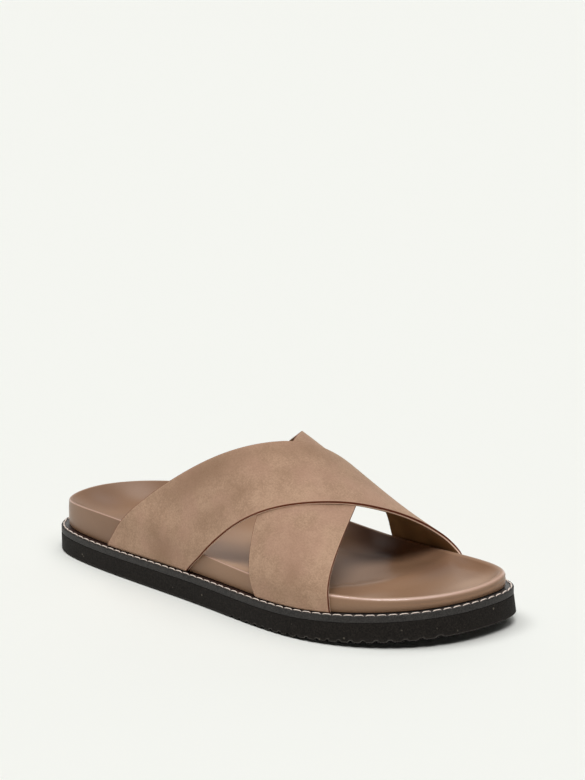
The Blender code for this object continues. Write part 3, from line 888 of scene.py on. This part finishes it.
def colour(red, green, blue):
    """Linear colour from display values of 0 to 255."""
    shown = np.array((red, green, blue)) / 255
    linear = np.where(shown < 0.04045, shown / 12.92, ((shown + 0.055) / 1.055) ** 2.4)
    return (*linear.tolist(), 1.0)


def new_material(name, roughness, sheen=0.0, specular=0.5):
    """A material with one shader, and the tree to build its patterns in."""
    material = bpy.data.materials.new(name)
    material.use_nodes = True
    shader = material.node_tree.nodes["Principled BSDF"]
    shader.inputs["Roughness"].default_value = roughness
    shader.inputs["Sheen Weight"].default_value = sheen
    shader.inputs["Specular IOR Level"].default_value = specular
    return material, shader, Socket(material.node_tree)


def feed(shader, name, value):
    """Links a value to the shader's socket of this name."""
    value.tree.links.new(value.socket, shader.inputs[name])


def strap_material():
    """Brushed nubuck on the outer face, mottled and finely napped, with soft patches of painted shade and
    painted light and a paler line along the cut edges, a pale cut edge between two burnished lines, and a
    smooth dark lining."""
    material, shader, tree = new_material("nubuck", 0.85, sheen=0.25, specular=0.25)
    shader.inputs["Sheen Roughness"].default_value = 0.45
    shader.inputs["Sheen Tint"].default_value = NUBUCK_SHEEN
    place = tree.place()
    layer = tree.attribute("layer")
    edge = tree.attribute("edge")
    patch = tree.attribute("tone")
    clouds = tree.noise(place, scale=75.0)
    mottle = tree.noise(place, scale=230.0)
    nap = tree.noise(place, scale=1000.0, detail=3.0, roughness=0.75)
    tone = clouds * 0.25 + mottle * 0.17 + nap * 0.58
    tan = tree.mix(tone.step(0.36, 0.64), NUBUCK_DARK, NUBUCK_LIGHT)
    blush = tree.noise(place, scale=55.0, detail=1.0)
    tan = tree.mix(blush.step(0.42, 0.66) * 0.45, tan, NUBUCK_BLUSH)
    # painted shade and painted light from the strap's patches
    tan = tree.mix(patch.fall(-1.2, 0.0), tan, NUBUCK_SHADE)
    tan = tree.mix(patch.step(0.0, 1.0), tan, NUBUCK_PALE)
    tan = tree.mix(edge.step(0.0004, 0.0013, 0.35, 0.0), tan, NUBUCK_PALE)
    tan = tree.mix(edge.step(0.0002, 0.0005, 0.85, 0.0), tan, CUT_LINE)
    burnish = layer.band(0.64, 0.13, 0.05)
    cut = tree.mix(burnish, CUT_LINE, CUT_EDGE)
    cut = tree.mix(layer.step(0.80, 0.86), cut, CUT_UNDER)
    inside = tree.mix(clouds.step(0.3, 0.7), LINING_DARK, LINING_LIGHT)
    skin = tree.mix(layer.step(0.01, 0.05), tan, cut)
    skin = tree.mix(layer.step(0.93, 0.98), skin, inside)
    feed(shader, "Base Color", skin)
    outer = 1 - layer.step(0.01, 0.06)
    fuzz = (nap * 0.6 + mottle * 0.4) * outer
    feed(shader, "Normal", tree.relief(fuzz, 0.0004))
    feed(shader, "Roughness", outer.step(0.0, 1.0, 0.55, 0.9))
    return material


def footbed_material():
    """Smooth, softly glossy leather with a fine close grain and a faint cloudiness, with painted shade and
    painted light in patches, and polished, with a painted highlight, on the crest of the rim."""
    material, shader, tree = new_material("footbed_leather", 0.32, specular=0.32)
    shader.inputs["Coat Roughness"].default_value = 0.14
    place = tree.place()
    painted_shading = tree.attribute("painted_shading")
    crest = tree.attribute("crest")
    clouds = tree.noise(place, scale=16.0, detail=3.0)
    grain = tree.node("TexVoronoi", {"feature": "SMOOTH_F1"}, {"Vector": place, "Scale": 1100.0})
    pores = tree.noise(place, scale=1500.0)
    base = tree.mix(clouds.step(0.35, 0.65), FOOTBED_DARK, FOOTBED_LIGHT)
    base = tree.mix(pores.step(0.35, 0.65) * 0.12, base, FOOTBED_PORE)
    # painted shade below 0 and painted light above 0
    base = tree.mix(painted_shading.fall(-2.0, 0.0), base, FOOTBED_SHADE)
    base = tree.mix(painted_shading.step(0.0, 1.0), base, FOOTBED_PALE)
    # painted highlight on the rim's crest, which its coat also makes glossier
    base = tree.mix(crest * 0.8, base, FOOTBED_HIGHLIGHT)
    feed(shader, "Base Color", base)
    feed(shader, "Coat Weight", crest)
    feed(shader, "Roughness", clouds * 0.05 + 0.30 + pores * 0.04)
    feed(shader, "Normal", tree.relief(grain + pores * 0.4, 0.00005, 0.25))
    return material


def welt_material():
    """Black rubber with fine grey dust in its grain, a speckled sheen on its ledge, brown painted shade along
    the wall's foot and dark stitch holes with painted shade round them."""
    material, shader, tree = new_material("welt_rubber", 0.55, specular=0.3)
    shader.inputs["Coat Roughness"].default_value = 0.25
    place = tree.place()
    ledge = tree.attribute("ledge")
    hole_shade = tree.attribute("hole_shade")
    foot_shade = tree.attribute("foot_shade")
    grain = tree.noise(place, scale=1200.0, detail=3.0, roughness=0.7)
    blotch = tree.noise(place, scale=240.0)
    base = tree.mix(grain.step(0.35, 0.7), WELT_DARK, WELT_LIGHT)
    base = tree.mix(blotch.step(0.4, 0.7) * 0.4, base, WELT_DUST)
    # painted shade along the wall's foot
    base = tree.mix(foot_shade * 0.9, base, WELT_FOOT_SHADE)
    # painted shade round the stitch holes
    base = tree.mix(hole_shade, base, WELT_HOLE_SHADE)
    feed(shader, "Base Color", base)
    feed(shader, "Coat Weight", ledge * grain.step(0.4, 0.55) * (1 - hole_shade) * (1 - foot_shade))
    feed(shader, "Normal", tree.relief(grain, 0.00012, 0.5))
    return material


def outsole_material():
    """Black foamed rubber, finely pitted, with sparse pale flecks and a painted highlight, in lumps, along
    its lower edge.
    """
    material, shader, tree = new_material("outsole_rubber", 0.75, specular=0.2)
    place = tree.place()
    edge_highlight = tree.attribute("edge_highlight")
    grain = tree.noise(place, scale=1200.0, detail=3.0, roughness=0.7)
    lumps = tree.noise(place, scale=190.0)
    flecks = tree.node("TexVoronoi", None, {"Vector": place, "Scale": 260.0})
    rare = tree.noise(place, scale=90.0, detail=1.0)
    fleck = flecks.fall(0.10, 0.2) * rare.step(0.54, 0.6)
    base = tree.mix(grain.step(0.38, 0.66), SOLE_DARK, SOLE_LIGHT)
    base = tree.mix(fleck * 0.8, base, SOLE_FLECK)
    # painted highlight along the lower edge, broken into lumps
    base = tree.mix(edge_highlight * lumps.step(0.25, 0.5), base, SOLE_EDGE_HIGHLIGHT)
    feed(shader, "Base Color", base)
    feed(shader, "Normal", tree.relief(grain * 0.6 + lumps, 0.0004, 0.7))
    return material


def thread_material():
    """Waxed pinkish-beige thread with twisted strands."""
    material, shader, tree = new_material("stitch_thread", 0.5, sheen=0.1)
    twist = tree.attribute("twist")
    strand = tree.math("SINE", twist * (4 * math.pi))
    feed(shader, "Base Color", tree.mix(strand.step(-1.0, 0.6), THREAD_DARK, THREAD_LIGHT))
    feed(shader, "Normal", tree.relief(strand, 0.00008, 0.6))
    return material


# Colours, as they would show in even white light; some of them give painted shade, painted light and painted
# highlights
NUBUCK_LIGHT = colour(196, 161, 135)
NUBUCK_DARK = colour(167, 134, 109)
# paler nubuck: painted light in the pale patches, and a paler line along the cut edges
NUBUCK_PALE = colour(208, 172, 144)
NUBUCK_BLUSH = colour(188, 148, 127)
# painted shade in the dark patches
NUBUCK_SHADE = colour(148, 115, 90)
NUBUCK_SHEEN = colour(235, 215, 195)
CUT_LINE = colour(104, 44, 16)
CUT_EDGE = colour(240, 208, 184)
CUT_UNDER = colour(70, 38, 20)
LINING_DARK = colour(134, 102, 64)
LINING_LIGHT = colour(156, 121, 79)
FOOTBED_DARK = colour(142, 108, 83)
FOOTBED_LIGHT = colour(154, 119, 92)
FOOTBED_PORE = colour(126, 93, 72)
# painted shade on the footbed
FOOTBED_SHADE = colour(104, 77, 62)
# painted light on the footbed
FOOTBED_PALE = colour(210, 172, 142)
# painted highlight on the rim's crest
FOOTBED_HIGHLIGHT = colour(228, 192, 174)
WELT_DARK = colour(34, 32, 30)
WELT_LIGHT = colour(66, 62, 60)
WELT_DUST = colour(64, 61, 59)
# painted shade round the stitch holes
WELT_HOLE_SHADE = colour(46, 20, 13)
# painted shade along the wall's foot, brown as the leather beside it
WELT_FOOT_SHADE = colour(44, 22, 14)
SOLE_DARK = colour(22, 18, 15)
SOLE_LIGHT = colour(41, 36, 32)
SOLE_FLECK = colour(110, 103, 92)
# painted highlight along the outsole's lower edge
SOLE_EDGE_HIGHLIGHT = colour(84, 80, 76)
THREAD_DARK = colour(232, 206, 188)
THREAD_LIGHT = colour(255, 245, 236)
FLOOR_WHITE = colour(245, 246, 241)

nubuck = strap_material()
straps_under = make_strap("strap_under", "under", 0.0, nubuck)
straps_over = make_strap("strap_over", "over", STRAP_THICKNESS - STRAP_OVERLAP, nubuck)
footbed = make_footbed(footbed_material())
welt = make_welt(welt_material())
stitches = make_stitches(thread_material())
outsole = make_outsole(outsole_material())

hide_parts("upper")
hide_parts("upper")
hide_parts("footbed")
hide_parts("welt")
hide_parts("outsole")


# Floor, light and camera
FLOOR_HALF = 30.0  # metres
FLOOR_DROP = 0.0002
FOCAL_PIXELS = 2775.3
PICTURE_HEIGHT = 780
SENSOR_LENGTH = 36.0
CAMERA_PLACE = (0.91105, -1.14096, 0.4799)
CAMERA_AZIMUTH = 37.97
CAMERA_ELEVATION = 14.12
DOME_LIGHT = 0.3
DOME_EDGE = (0.68, 0.85)  # the world's lights fade between these sines of elevation
HORIZON_LIGHT = 0.33
HORIZON_EDGE = (0.15, 0.25)
BACKDROP_LIGHT = 0.72
BACKDROP_TOP = (0.68, 0.82)
BACKDROP_AZIMUTH = 212.0
BACKDROP_SIDES = (0.6, 0.85)  # and between these cosines from the backdrop's azimuth

Sun = namedtuple("Sun", "name azimuth elevation strength spread")
SUNS = (
    Sun("key_light", azimuth=38, elevation=65, strength=1.33, spread=24),
    Sun("left_light", azimuth=-60, elevation=65, strength=0.88, spread=30),
    Sun("right_light", azimuth=98, elevation=60, strength=0.34, spread=30),
    Sun("rear_light", azimuth=195, elevation=60, strength=0.27, spread=26),
)


def direction(azimuth, elevation):
    """Unit vector towards an azimuth and an elevation in degrees: azimuth 0 looks at the outer
    side, 90 at the toe."""
    turn, rise = math.radians(azimuth), math.radians(elevation)
    flat = math.cos(rise)
    return Vector((math.sin(turn) * flat, -math.cos(turn) * flat, math.sin(rise)))


def make_floor():
    """A wide pale floor, a hair under the sole."""
    mesh = bpy.data.meshes.new("floor")
    signs = ((-1, -1), (1, -1), (1, 1), (-1, 1))
    corners = [(x * FLOOR_HALF, y * FLOOR_HALF, -FLOOR_DROP) for x, y in signs]
    mesh.from_pydata(corners, [], [(0, 1, 2, 3)])
    floor = bpy.data.objects.new("floor", mesh)
    bpy.context.scene.collection.objects.link(floor)
    material, shader, tree = new_material("floor_white", 1.0, specular=0.0)
    shader.inputs["Base Color"].default_value = FLOOR_WHITE
    mesh.materials.append(material)


def make_sun(sun):
    """A soft distant light, as wide as its spread in degrees."""
    light = bpy.data.lights.new(sun.name, "SUN")
    light.energy = sun.strength
    light.angle = math.radians(sun.spread)
    lamp = bpy.data.objects.new(sun.name, light)
    towards = direction(sun.azimuth, sun.elevation)
    lamp.rotation_euler = towards.to_track_quat("Z", "Y").to_euler()
    bpy.context.scene.collection.objects.link(lamp)


def make_world():
    """White studio: light from high up and from the horizon, and a bright backdrop."""
    world = bpy.data.worlds.new("studio")
    world.use_nodes = True
    background = world.node_tree.nodes["Background"]
    background.inputs["Color"].default_value = (1.0, 1.0, 0.985, 1.0)
    tree = Socket(world.node_tree)
    towards = tree.node("TexCoord")
    high = tree.node("SeparateXYZ", None, {"Vector": towards}, output=2)
    backdrop = {0: towards, 1: direction(BACKDROP_AZIMUTH, 0)}
    behind = tree.node("VectorMath", {"operation": "DOT_PRODUCT"}, backdrop, output=1)
    horizon = high.step(*HORIZON_EDGE, HORIZON_LIGHT, 0.0)
    dome = high.step(*DOME_EDGE, 0.0, DOME_LIGHT)
    glow = behind.step(*BACKDROP_SIDES) * high.step(*BACKDROP_TOP, BACKDROP_LIGHT, 0.0)
    feed(background, "Strength", tree.math("MAXIMUM", glow, horizon + dome))
    bpy.context.scene.world = world


def make_camera():
    """The photo's camera, looking down at the outer side from a little in front."""
    data = bpy.data.cameras.new("camera")
    data.sensor_width = SENSOR_LENGTH
    data.lens = FOCAL_PIXELS * SENSOR_LENGTH / PICTURE_HEIGHT
    data.clip_end = 50.0
    camera = bpy.data.objects.new("camera", data)
    back = direction(CAMERA_AZIMUTH, CAMERA_ELEVATION)
    right = direction(CAMERA_AZIMUTH + 90, 0)
    turned = Matrix((right, back.cross(right), back)).transposed()
    camera.matrix_world = Matrix.Translation(CAMERA_PLACE) @ turned.to_4x4()
    bpy.context.scene.collection.objects.link(camera)
    bpy.context.scene.camera = camera


make_floor()
make_world()
for sun in SUNS:
    make_sun(sun)
make_camera()
bpy.context.scene.view_settings.view_transform = "Standard"
